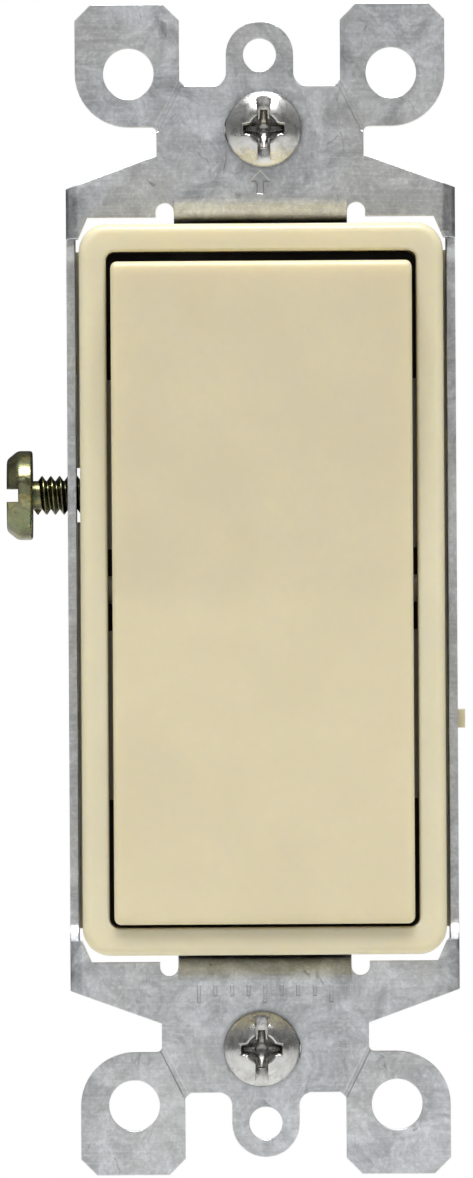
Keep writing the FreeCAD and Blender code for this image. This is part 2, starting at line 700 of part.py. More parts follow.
def make_rocker():
    """The paddle, in its own frame: the pivot is the origin and the paddle stands level."""
    rocker = new_body("rocker")
    nose = "rocker_half - rocker_crown"
    tip_y = rocker_front("rocker_half") + " + rocker_crown_drop"
    draft = "rocker_half - 0.35"
    profile = [
        ("-rocker_vertex", "0", "rocker_valley_radius"),
        (rocker_front(nose), nose, "rocker_crown_radius"),
        (tip_y, "rocker_half", "rocker_tip_radius"),
        ("rocker_skirt", draft),
        ("rocker_skirt", f"-({draft})"),
        (tip_y, "-rocker_half", "rocker_tip_radius"),
        (rocker_front(nose), f"-({nose})", "rocker_crown_radius"),
    ]
    half = "rocker_half_width"
    slab(rocker, "paddle", "side", f"-{half}", half, [profile])
    width, limit = value(half), value("-rocker_vertex") + 0.9
    corners = []
    for x_sign in (1, -1):
        for z_sign in (1, -1):
            corners.append([(signed(x_sign, x), signed(z_sign, z), *rest) for x, z, *rest in (
                (f"{half} + 1", "rocker_half - 1"), (half, "rocker_half - 1"),
                (half, "rocker_half", "rocker_corner"), (f"{half} - 1", "rocker_half"),
                (f"{half} - 1", "rocker_half + 1"), (f"{half} + 1", "rocker_half + 1"))])
    slab(rocker, "corners", "front", "-rocker_vertex - 6", "rocker_skirt + 1", corners, cut=True)
    round_edges(rocker, "rim", "rocker_edge", lambda e: not along(e, "x") and all(
        near(abs(v.X), width) and v.Y < limit for v in e.Vertexes))
    inner = "rocker_half - rocker_wall - 0.35"
    cavity = [
        ("-rocker_vertex + rocker_wall", "0"),
        (rocker_front(inner) + " + rocker_wall", inner),
        ("rocker_skirt + 1", inner),
        ("rocker_skirt + 1", f"-({inner})"),
        (rocker_front(inner) + " + rocker_wall", f"-({inner})"),
    ]
    wall = "(rocker_half_width - rocker_side_wall)"
    slab(rocker, "cavity", "side", f"-{wall}", wall, [cavity], cut=True)
    relief = []
    for sign in (1, -1):
        relief.append([(y, signed(sign, z)) for y, z in
                       box("-1.35", "rocker_skirt + 1", "ledge_near - 0.75", "ledge_far + 1.5")])
    slab(rocker, "side_relief", "side", "-rocker_half_width - 1", "rocker_half_width + 1", relief, cut=True)
    ribs = [box("-0.6", "0.6", f"-({inner}) - 0.2", f"{inner} + 0.2")]
    slab(rocker, "long_rib", "front", "-rocker_vertex + 0.4", "-1.4", ribs)
    for index, sign in enumerate((-1, 1)):
        for step in (1, 2):
            z = signed(sign, f"rocker_half * {step} / 3")
            rib = box(f"-{wall} - 0.2", f"{wall} + 0.2", f"{z} - 0.5", f"{z} + 0.5")
            slab(rocker, f"rib_{index}{step}", "front", "-rocker_vertex + 0.4", "-1.4", [rib])
    slab(rocker, "post_base", "front", "-rocker_vertex + 0.4", "2.6", [centred("3", "3.3")])
    blade_half = "blade_height / 2"
    slab(rocker, "blade", "front", "0", "pin_arm + pin_radius + 0.2",
         [centred("blade_thick / 2", blade_half)])
    fork = box("pin_arm - pin_radius - 0.35", "pin_arm + pin_radius + 2",
               "-pin_radius - running_gap", "pin_radius + running_gap")
    slab(rocker, "fork", "side", "-blade_thick", "blade_thick", [fork], cut=True)
    boss = [("0", "0", "trunnion_radius + 1.1")]
    pin = [("0", "0", "trunnion_radius")]
    slab(rocker, "boss_right", "side", wall, "rocker_half_width", boss)
    slab(rocker, "boss_left", "side", "-rocker_half_width", f"-{wall}", boss)
    reach = "rocker_half_width + rocker_side_gap + trunnion_reach"
    slab(rocker, "trunnion_right", "side", wall, reach, pin)
    slab(rocker, "trunnion_left", "side", f"-({reach})", f"-{wall}", pin)
    put(rocker, "pivot_y", "half_throw")
    return rocker


# ---------------------------------------------------------------- cradle, drive pin, plunger and spring
def make_cradle():
    """The lever that the rocker's blade swings; its own frame has its pivot at the origin."""
    cradle = new_body("cradle")
    slab(cradle, "hub", "side", "-cradle_half", "cradle_half", [("0", "0", "cradle_hub")])
    cheek = [("0", "-2.2"), ("0", "2.2"), ("-cradle_arm - 1.6", "1.6", "0.8"),
             ("-cradle_arm - 1.6", "-1.6", "0.8")]
    slab(cradle, "cheeks", "side", "-cradle_half", "cradle_half", [cheek])
    slot_half = "(blade_thick / 2 + 0.25)"
    throat = box("-cradle_arm - 3", "-0.4", "-cradle_hub - 1", "cradle_hub + 1")
    slab(cradle, "throat", "side", f"-{slot_half}", slot_half, [throat], cut=True)
    slab(cradle, "post", "front", "0", "cradle_post_length", [("0", "0", "cradle_post")])
    slab(cradle, "bore", "front", "0.6", "cradle_post_length + 1", [("0", "0", "plunger_bore")], cut=True)
    slab(cradle, "pin_hole", "side", "-cradle_half - 1", "cradle_half + 1",
         [("-cradle_arm", "0", "pin_radius")], cut=True)
    reach = "cradle_half + 2"
    for name, low, high in (("trunnion_right", "cradle_half - 0.5", reach),
                            ("trunnion_left", f"-({reach})", "-cradle_half + 0.5")):
        slab(cradle, name, "side", low, high, [("0", "0", "cradle_trunnion")])
    put(cradle, "cradle_y", "-half_throw * cradle_ratio")
    return cradle


def make_drive_pin():
    """Steel dowel pressed through the cradle's cheeks."""
    pin = new_body("drive_pin")
    slab(pin, "dowel", "side", "-cradle_half", "cradle_half", [("-cradle_arm", "0", "pin_radius")])
    put(pin, "cradle_y", "-half_throw * cradle_ratio")
    return pin


def make_plunger():
    """Hollow cap with a round nose, which the spring pushes on to the contact arm."""
    plunger = new_body("plunger")
    skirt = "plunger_bore - running_gap"
    nose = "plunger_reach + plunger_tip"
    profile = [
        ("0", "2.6"), (skirt, "2.6"), (skirt, "plunger_reach - 0.6"),
        ("plunger_tip", "plunger_reach - 0.2"),
        ("plunger_tip", nose, "plunger_tip - 0.005"), ("0", nose),
    ]
    revolve(plunger, "turned", "top", profile, "V_Axis")
    slab(plunger, "bore", "front", "1", "plunger_reach - 1.1",
         [("0", "0", "spring_radius + spring_wire")], cut=True)
    put(plunger, "cradle_y", "-half_throw * cradle_ratio")
    return plunger


def make_spring():
    """Coil spring inside the cradle's post and the plunger."""
    start, finish = "0.6 + spring_wire / 2 + 0.02", "plunger_reach - 1.1 - spring_wire / 2 - 0.02"
    helix = doc.addObject("Part::Helix", "spring_path")
    helix.setExpression("Radius", bind("spring_radius"))
    helix.setExpression("Pitch", bind("spring_pitch"))
    helix.setExpression("Height", bind(f"({finish}) - ({start})"))
    helix.Placement = FreeCAD.Placement(Vector(0, value(start), 0), FreeCAD.Rotation(X_AXIS, -90))
    helix.setExpression("Placement.Base.y", bind(start))
    ring = doc.addObject("Part::Circle", "spring_wire_section")
    ring.setExpression("Radius", bind("spring_wire / 2"))
    doc.recompute()
    path_start = helix.Shape.Vertexes[0].Point
    ring.Placement = FreeCAD.Placement(path_start, FreeCAD.Rotation(Vector(0, 0, 1), Vector(0, 0, 1)))
    sweep = doc.addObject("Part::Sweep", "spring_sweep")
    sweep.Sections = [ring]
    sweep.Spine = (helix, ["Edge1"])
    sweep.Solid = True
    sweep.Frenet = True
    doc.recompute()
    spring = doc.addObject("Part::Feature", "plunger_spring")
    spring.Label = "plunger_spring"
    spring.Shape = sweep.Shape.copy()
    put(spring, "cradle_y", "-half_throw * cradle_ratio")
    return spring


# ---------------------------------------------------------------- contacts and terminals
def make_contact_arm():
    """Brass seesaw, in its own frame: the fulcrum is the origin."""
    arm = new_body("contact_arm")
    slab(arm, "strip", "front", "-arm_front", "arm_back",
         [box("-arm_width / 2", "arm_width / 2", "-arm_down", "arm_up", "1")])
    slab(arm, "rivet_hole", "front", "-arm_front - 1", "arm_back + 1", [("0", "contact_z", "0.7")],
         cut=True)
    reach = "ear_offset + brass + 0.3"
    for name, low, high in (("trunnion_right", "arm_width / 2 - 0.4", reach),
                            ("trunnion_left", f"-({reach})", "-arm_width / 2 + 0.4")):
        slab(arm, name, "side", low, high, [("0", "0", "arm_trunnion")])
    put(arm, "arm_y", "arm_half_swing")
    return arm


def make_moving_contact():
    contact = new_body("moving_contact")
    slab(contact, "button", "front", "arm_back", "arm_back + contact_height",
         [("0", "contact_z", "contact_radius")])
    slab(contact, "shank", "front", "-arm_front - 0.1", "arm_back + 0.1", [("0", "contact_z", "0.7")])
    slab(contact, "upset_head", "front", "-arm_front - 0.35", "-arm_front", [("0", "contact_z", "1.15")])
    put(contact, "arm_y", "arm_half_swing")
    return contact


def make_fixed_contact():
    contact = new_body("fixed_contact")
    slab(contact, "button", "front", "fixed_face", "strip_front",
         [("0", "contact_z", "contact_radius + 0.2")])
    slab(contact, "shank", "front", "strip_front - 0.1", "strip_back", [("0", "contact_z", "0.8")])
    return contact


def terminal_plate(body, sign):
    """The upright plate that a terminal screw threads into, and the wire hole beside it."""
    low, high = sorted((signed(sign, "bay_low + 0.35"), signed(sign, "bay_high - 0.35")), key=value)
    slab(body, "plate", "front", "bay_mouth_front + 0.6", "strip_back",
         [box("plate_in", "plate_out", low, high)])
    slab(body, "screw_hole", "side", "plate_in - 1", "plate_out + 1",
         [("terminal_screw_y", signed(sign, "terminal_screw_z"), "terminal_thread + running_gap")],
         cut=True)
    slab(body, "wire_hole", "front", "strip_front - 1", "strip_back + 1",
         [("wire_hole_x", signed(sign, "wire_hole_z"), "wire_hole_radius + 0.1")], cut=True)


def make_line_terminal():
    terminal = new_body("line_terminal")
    band_low, band_high = "contact_z - 1.9", "contact_z + 1.9"
    strip = [
        ("-2.2", band_low), ("bay_outer - 4.2", band_low), ("plate_out", "bay_low + 0.35"),
        ("plate_out", "bay_high - 0.35"), ("bay_inner + 0.9", "bay_high - 0.35"),
        ("cavity_half_width", band_high), ("-2.2", band_high),
    ]
    slab(terminal, "strip", "front", "strip_front", "strip_back", [strip])
    slab(terminal, "contact_hole", "front", "strip_front - 1", "strip_back + 1",
         [("0", "contact_z", "0.8")], cut=True)
    terminal_plate(terminal, 1)
    return terminal


def make_load_terminal():
    """Common strip with the two notched ears on which the contact arm rocks."""
    terminal = new_body("load_terminal")
    ear_out = "ear_offset + brass"
    strip = [
        (f"-({ear_out})", "1.8"), ("bay_inner + 0.6", "1.8"), ("bay_inner + 0.6", "-5.5"),
        ("plate_out", "-bay_low - 0.35"), ("plate_out", "-bay_high + 0.35"),
        ("bay_inner + 0.9", "-bay_high + 0.35"), ("cavity_half_width + 0.3", "-cavity_half_height + 0.4"),
        (f"{ear_out} + 0.6", "-bay_low - 1.2"),
        (f"{ear_out} + 0.6", "-1.8"), (f"-({ear_out})", "-1.8"),
    ]
    slab(terminal, "strip", "front", "strip_front", "strip_back", [strip])
    ears = [box("ear_offset", ear_out, "-1.6", "1.6"), box(f"-({ear_out})", "-ear_offset", "-1.6", "1.6")]
    slab(terminal, "ears", "front", "arm_y - 1.1", "strip_back", ears)
    radius = "arm_trunnion + running_gap"
    notch = box("arm_y - 3", f"arm_y + {radius}", f"-({radius})", radius)
    notch[1:3] = [(*corner, f"{radius} - 0.005") for corner in notch[1:3]]
    slab(terminal, "notch", "side", f"-({ear_out}) - 1", f"{ear_out} + 1", [notch], cut=True)
    terminal_plate(terminal, -1)
    return terminal


def make_wire_clip(label, sign):
    """Push-in clip: a folded steel leaf whose free edge bites the wire against the terminal plate."""
    clip = new_body(label)
    fold = "terminal_screw_y - 2.2"
    left = "bay_inner + 0.15"
    leaf = [
        (left, "strip_front - 0.05"), (left, fold, "0.9"), (f"{left} + 1.6", fold, "0.5"),
        ("wire_hole_x - 0.35", "strip_front - 2.6"), ("wire_hole_x - 0.75", "strip_front - 2.4"),
        (f"{left} + 1.35", f"{fold} + 0.4", "0.3"), (f"{left} + 0.4", f"{fold} + 0.4", "0.5"),
        (f"{left} + 0.4", "strip_front - 0.05"),
    ]
    low, high = sorted((signed(sign, "wire_hole_z - 0.85"), signed(sign, "wire_hole_z + 0.85")), key=value)
    slab(clip, "leaf", "top", low, high, [leaf])
    return clip


# ---------------------------------------------------------------- housing
def ground_recess():
    return box("-housing_half_width - 1", "-bay_inner - 3.6", "ground_z - 3.1", "ground_z + 3.1")


def make_housing_base():
    base = new_body("housing_base")
    slab(base, "tub", "front", "housing_split", "housing_rear",
         [centred("housing_half_width", "housing_half_height", "housing_corner")])
    rear = value("housing_rear")
    round_edges(base, "rear_edge", "1", lambda e: all(near(v.Y, rear) for v in e.Vertexes))
    for sign, name in ((1, "top"), (-1, "bottom")):
        end = box("-end_block_width / 2", "end_block_width / 2", signed(sign, "housing_half_height - 1"),
                  signed(sign, "frame_height / 2"))
        slab(base, f"end_block_{name}", "front", "housing_split", "tongue_back", [end])
        lug = box("-lug_width / 2", "lug_width / 2", signed(sign, "frame_height / 2 - 0.5"),
                  signed(sign, "tongue_in + sheet + 0.4"))
        slab(base, f"lug_{name}", "front", "housing_split + 0.9", "housing_split + 0.9 + lug_depth", [lug])
    front = "housing_split - 1"
    slab(base, "mechanism_bay", "front", front, "floor_y",
         [centred("cavity_half_width", "cavity_half_height", "0.5")], cut=True)
    bays = {
        "load_bay": box("cavity_half_width - 0.1", "bay_outer", "-bay_high", "divider_low"),
        "line_bay": box("cavity_half_width - 0.1", "bay_outer", "divider_high", "bay_high"),
    }
    for name, corners in bays.items():
        slab(base, name, "front", front, "floor_y", [corners], cut=True)
    mouths = [box("bay_mouth_front", "bay_mouth_back", low, high)
              for low, high in (("bay_low", "bay_high"), ("-bay_high", "-bay_low"))]
    slab(base, "screw_mouths", "side", "bay_outer - 0.1", "housing_half_width + 1", mouths, cut=True)
    blanks = [box("-bay_outer - 0.4", "-bay_inner - 0.4", "-bay_high", "divider_low")]
    for sign in (1, -1):
        for side in (1, -1):
            corners = box("rivet_radius + 2.2", "bay_outer + 0.4", "bay_high + 1.8",
                          "housing_half_height - 1.8")
            blanks.append([(signed(side, x), signed(sign, z)) for x, z in corners])
    slab(base, "blank_bays", "front", front, "floor_y", blanks, cut=True)
    slab(base, "ground_recess", "front", front, "ground_y + ground_thread + 1.2", [ground_recess()],
         cut=True)
    stop = box("-1.8", "1.8", "-arm_down + 0.6", "-arm_down + 2.4")
    slab(base, "arm_stop", "front", "arm_y + arm_back * cos(swing) + arm_down * sin(swing) + 0.1",
         "floor_y + 0.5", [stop])
    wires = [("wire_hole_x", signed(sign, "wire_hole_z"), "wire_hole_radius") for sign in (1, -1)]
    slab(base, "wire_holes", "front", "floor_y - 1", "housing_rear + 1", wires, cut=True)
    funnels = [("wire_hole_x", signed(sign, "wire_hole_z"), "wire_funnel_radius") for sign in (1, -1)]
    slab(base, "wire_funnels", "front", "housing_rear - wire_funnel_depth", "housing_rear + 1", funnels,
         cut=True)
    releases = []
    for sign in (1, -1):
        releases.append([(x, signed(sign, z)) for x, z in box(
            "wire_hole_x - release_slot_length / 2", "wire_hole_x + release_slot_length / 2",
            "wire_hole_z + 3", "wire_hole_z + 3 + release_slot_width")])
    slab(base, "release_slots", "front", "housing_rear - 2", "housing_rear + 1", releases, cut=True)
    rivets = [("0", signed(sign, "rivet_z"), "rivet_radius") for sign in (1, -1)]
    slab(base, "rivet_holes", "front", front, "housing_rear + 1", rivets, cut=True)
    gauge = box("-housing_half_width + 3", "-housing_half_width + 4.2", "-8", "8")
    slab(base, "strip_gauge", "front", "housing_rear - 0.5", "housing_rear + 1", [gauge], cut=True)
    return base


def make_housing_cover():
    cover = new_body("housing_cover")
    slab(cover, "plate", "front", "housing_front", "housing_split",
         [centred("housing_half_width", "housing_half_height", "housing_corner")])
    slab(cover, "blade_opening", "front", "housing_front - 1", "housing_split + 1",
         [centred("3.8", "4.9", "0.5")], cut=True)
    leg_in, leg_out = "cradle_half + 0.3", "cradle_half + 2"
    legs = []
    for side in (1, -1):
        legs.append([(signed(side, x), z) for x, z in box(leg_in, leg_out, "-2.6", "2.6")])
    slab(cover, "bearing_legs", "front", "housing_front", "cradle_y + 1.8", legs)
    radius = "cradle_trunnion + running_gap"
    seat = box(f"cradle_y - ({radius})", "cradle_y + 4", f"-({radius})", radius)
    seat[0], seat[3] = (*seat[0], f"{radius} - 0.005"), (*seat[3], f"{radius} - 0.005")
    slab(cover, "bearing_seats", "side", "-cradle_half - 3", "cradle_half + 3", [seat], cut=True)
    slab(cover, "ground_recess", "front", "housing_front - 1", "housing_split + 1", [ground_recess()],
         cut=True)
    rivets = [("0", signed(sign, "rivet_z"), "rivet_radius") for sign in (1, -1)]
    slab(cover, "rivet_holes", "front", "housing_front - 1", "housing_split + 1", rivets, cut=True)
    sinks = [("0", signed(sign, "rivet_z"), "rivet_head + 0.2") for sign in (1, -1)]
    slab(cover, "rivet_sinks", "front", "housing_front - 1", "housing_front + rivet_head_height + 0.2",
         sinks, cut=True)
    return cover


def make_rivet(label, sign):
    rivet = new_body(label)
    seat = "housing_front + rivet_head_height + 0.2"
    z = signed(sign, "rivet_z")
    slab(rivet, "shank", "front", f"{seat} - 0.1", "housing_rear + 0.1", [("0", z, "rivet_radius")])
    slab(rivet, "front_head", "front", f"{seat} - rivet_head_height", seat, [("0", z, "rivet_head")])
    slab(rivet, "rear_head", "front", "housing_rear", "housing_rear + rivet_head_height",
         [("0", z, "rivet_head")])
    rear = value("housing_rear + rivet_head_height")
    round_edges(rivet, "rear_dome", "rivet_head_height * 0.6", lambda e: near(e.Vertexes[0].Y, rear))
    return rivet


# ---------------------------------------------------------------- screws
def thread_ridge(name, thread, core, start, length):
    """A helical ridge about X, from x = start towards +X, up to the radius thread on a core."""
    helix = doc.addObject("Part::Helix", f"{name}_path")
    helix.setExpression("Radius", bind(core))
    helix.setExpression("Pitch", bind("thread_pitch"))
    helix.setExpression("Height", bind(length))
    helix.Placement = FreeCAD.Placement(Vector(0, 0, 0), FreeCAD.Rotation(Vector(0, 1, 0), 90))
    doc.recompute()
    first = helix.Shape.Vertexes[0].Point
    radial = Vector(0, first.y, first.z).normalize()
    foot, crest = value(core) - 0.05, value(thread)
    half_foot, half_crest = value("thread_pitch") * 0.49, value("thread_pitch") * 0.05
    corners = [
        radial * foot + Vector(first.x - half_foot, 0, 0),
        radial * crest + Vector(first.x - half_crest, 0, 0),
        radial * crest + Vector(first.x + half_crest, 0, 0),
        radial * foot + Vector(first.x + half_foot, 0, 0),
    ]
    section = Part.makePolygon(corners + corners[:1])
    pipe = Part.Wire(helix.Shape.Edges).makePipeShell([section], True, True)
    pipe.translate(Vector(value(start), 0, 0))
    return pipe


def turned_screw(label, thread, core, shank):
    """A slotted binding-head screw about X: its bearing face is at x = 0 and its tip points to +X."""
    screw = new_body(f"{label}_blank")
    head, top = "terminal_head", "-terminal_head_height"
    profile = [
        (top, "0"), (top, f"{head} * 0.8", "0.6"), (f"{top} + 1", head, "0.8"), ("0", head, "0.25"),
        ("0", core), (f"{shank} - 0.4", core), (shank, f"{core} - 0.4"),
        (shank, "0"),
    ]
    revolve(screw, "turned", "top", profile, "H_Axis")
    slot = box(f"{top} - 1", f"{top} + terminal_slot_depth", "-terminal_slot / 2", "terminal_slot / 2")
    slab(screw, "slot", "front", f"-({head} + 1)", f"{head} + 1", [slot], cut=True)
    ridge = thread_ridge(label, thread, core, "0.45", f"{shank} - 1.25")
    return screw.Shape.fuse(ridge)


def make_side_screw(label, thread, core, shank, place, direction):
    """A terminal or ground screw at place, whose tip points along direction (+1 or -1) on X."""
    shape = turned_screw(label, thread, core, shank)
    screw = doc.addObject("Part::Feature", label)
    screw.Label = label
    screw.Shape = shape
    turn = FreeCAD.Rotation(Vector(0, 0, 1), 0 if direction > 0 else 180)
    screw.Placement = FreeCAD.Placement(Vector(*(value(p) for p in place)), turn)
    return screw


def make_box_screw(label, sign):
    """A 6-32 mounting screw with a combination slot and cross recess, about its own Y axis."""
    screw = new_body(label)
    head, height, seat = "box_head_radius", "box_head_height", "-(sheet + seat_gap)"
    top = f"{seat} - {height}"
    profile = [
        ("0", top), (f"{head} * 0.45", top, "3.2"), (head, f"{seat} - {height} * 0.42", "0.5"),
        (head, seat),
        ("box_neck_radius", seat), ("box_neck_radius", "retainer_back + neck_gap"),
        ("box_screw_radius", "retainer_back + neck_gap"),
        ("box_screw_radius", f"{seat} + box_screw_length - 0.7"),
        ("box_screw_radius - 0.6", f"{seat} + box_screw_length"), ("0", f"{seat} + box_screw_length"),
    ]
    revolve(screw, "turned", "top", profile, "V_Axis")
    slab(screw, "slot", "front", f"{top} - 1", f"{top} + 0.9", [centred("box_slot / 2", f"{head} + 1")],
         cut=True)
    arms = (("cross", "cross_reach", "box_slot / 2"), ("upright", "box_slot / 2", "cross_reach"))
    for name, half_x, half_z in arms:
        slab(screw, name, "front", top, f"{top} + cross_depth", [centred(half_x, half_z)], cut=True,
             taper="-cross_taper")
    groove(screw, "socket", "top", [("0", f"{top} - 0.5"), ("1.5", f"{top} - 0.5"), ("1.3", f"{top} + 0.4"),
                                    ("0.55", f"{top} + 1.75"), ("0", f"{top} + 1.95")], "V_Axis")
    shift, z = signed(sign, "box_screw_shift"), signed(sign, "box_hole_z")
    screw.Placement = FreeCAD.Placement(Vector(value(shift), 0, value(z)), FreeCAD.Rotation())
    screw.setExpression("Placement.Base.x", bind(shift))
    screw.setExpression("Placement.Base.z", bind(z))
    return screw


def make_retainer(label, sign):
    """Fibre square that grips a mounting screw behind the strap."""
    retainer = new_body(label)
    half, z, shift = "retainer_side / 2", signed(sign, "box_hole_z"), signed(sign, "box_screw_shift")
    slab(retainer, "square", "front", "retainer_gap", "retainer_back",
         [box(f"{shift} - {half}", f"{shift} + {half}", f"{z} - {half}", f"{z} + {half}", "0.6")])
    slab(retainer, "hole", "front", "-1", "retainer_back + 1",
         [(shift, z, "box_neck_radius + running_gap")], cut=True)
    return retainer


# ---------------------------------------------------------------- build, check and write
def build():
    terminal_x = "plate_out + terminal_backed_out"
    return [
        make_strap(), make_frame(), make_rocker(), make_cradle(), make_drive_pin(), make_plunger(),
        make_spring(), make_contact_arm(), make_moving_contact(), make_fixed_contact(),
        make_line_terminal(), make_load_terminal(),
        make_wire_clip("wire_clip_line", 1), make_wire_clip("wire_clip_load", -1),
        make_housing_base(), make_housing_cover(),
        make_rivet("housing_rivet_top", 1), make_rivet("housing_rivet_bottom", -1),
        *(make_side_screw(f"{name}_terminal_screw", "terminal_thread", "terminal_core", "terminal_shank",
                          (terminal_x, "terminal_screw_y", signed(sign, "terminal_screw_z")), -1)
          for name, sign in (("line", 1), ("load", -1))),
        make_side_screw("ground_screw", "ground_thread", "ground_core", "ground_shank",
                        ("-(rail_out + ground_backed_out)", "ground_y", "ground_z"), 1),
        make_box_screw("mounting_screw_top", 1), make_box_screw("mounting_screw_bottom", -1),
        make_retainer("screw_retainer_top", 1), make_retainer("screw_retainer_bottom", -1),
    ]


def check(parts):
    """Stops if any object failed, or a sub-part has no valid solid."""
    doc.recompute()
    for item in doc.Objects:
        if {"Invalid", "Error"} & set(item.State):
            raise RuntimeError(f"{item.Name} failed: {item.State}")
    for part in parts:
        shape = part.Shape
        if shape.isNull() or not shape.isValid() or not shape.Solids or shape.Volume <= 0:
            raise RuntimeError(f"{part.Label} is not a valid solid")


def write(parts):
    os.makedirs("parts", exist_ok=True)
    for part in parts:
        part.Shape.exportStep(os.path.join("parts", part.Label + ".step"))
        print(f"{part.Label}: {len(part.Shape.Solids)} solid, {part.Shape.Volume:.1f} mm3")


sub_parts = build()
check(sub_parts)
write(sub_parts)
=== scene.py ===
"""Looks of the rocker wall switch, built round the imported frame: finishes, threaded screws and the studio."""

import json
import math

import bmesh
import bpy
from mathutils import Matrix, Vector


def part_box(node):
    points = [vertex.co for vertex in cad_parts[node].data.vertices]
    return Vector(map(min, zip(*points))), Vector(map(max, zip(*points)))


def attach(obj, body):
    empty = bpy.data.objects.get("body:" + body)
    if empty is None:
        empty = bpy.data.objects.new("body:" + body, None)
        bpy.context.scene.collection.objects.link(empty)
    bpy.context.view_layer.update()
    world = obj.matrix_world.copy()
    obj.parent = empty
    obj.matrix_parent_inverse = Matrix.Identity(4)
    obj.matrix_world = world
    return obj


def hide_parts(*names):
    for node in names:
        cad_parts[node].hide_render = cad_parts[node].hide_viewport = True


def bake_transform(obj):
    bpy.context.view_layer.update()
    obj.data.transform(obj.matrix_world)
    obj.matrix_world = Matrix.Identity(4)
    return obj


MM = 0.001

# ---------------------------------------------------------------- driving dimensions, in mm
CAMERA_DISTANCE = 1500.0
FRAMED_HEIGHT = 106.81      # of the picture, at the wall box plane
CAMERA_X = -2.376
CAMERA_Z = 0.027
CAMERA_ROLL = 0.354         # degrees
SENSOR = 36.0
FLOOR_RADIUS = 560.0
FLOOR_Z = -76.5

THREAD_MAJOR = 1.75         # mounting screws, 6-32
THREAD_MINOR = 1.36
THREAD_PITCH = 25.4 / 32
THREAD_START = 1.45         # Y of the neck's end
THREAD_END = 18.15
TIP_LENGTH = 0.7
THREAD_ROOT_SUNK = 0.06     # how far the ridge's foot lies inside the core
THREAD_STEPS = 36           # of the ridge, to a turn
CORE_STEPS = 48
CREASE = 32                 # degrees; sharper edges stay sharp

ROOM_STRENGTH = 2.3
OVERHEAD_POWER = 15.2       # W
FILL_POWER = 3.8
FLOOR_LIP = 3.0             # drop of the floor's rim

# ---------------------------------------------------------------- the frame
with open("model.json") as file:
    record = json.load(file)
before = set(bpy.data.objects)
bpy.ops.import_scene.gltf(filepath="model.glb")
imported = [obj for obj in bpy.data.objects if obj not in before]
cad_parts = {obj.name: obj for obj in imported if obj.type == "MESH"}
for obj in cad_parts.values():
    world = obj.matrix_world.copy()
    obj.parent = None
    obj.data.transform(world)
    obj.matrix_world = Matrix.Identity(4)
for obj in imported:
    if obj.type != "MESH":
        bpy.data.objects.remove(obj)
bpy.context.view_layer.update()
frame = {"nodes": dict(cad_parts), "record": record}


def linear(r, g, b):
    """Scene colour of an 8-bit display colour."""
    values = []
    for c in (r, g, b):
        c /= 255
        values.append(c / 12.92 if c <= 0.04045 else ((c + 0.055) / 1.055) ** 2.4)
    return (*values, 1.0)


def scaled(colour, k):
    return (*(min(1.0, c * k) for c in colour[:3]), 1.0)


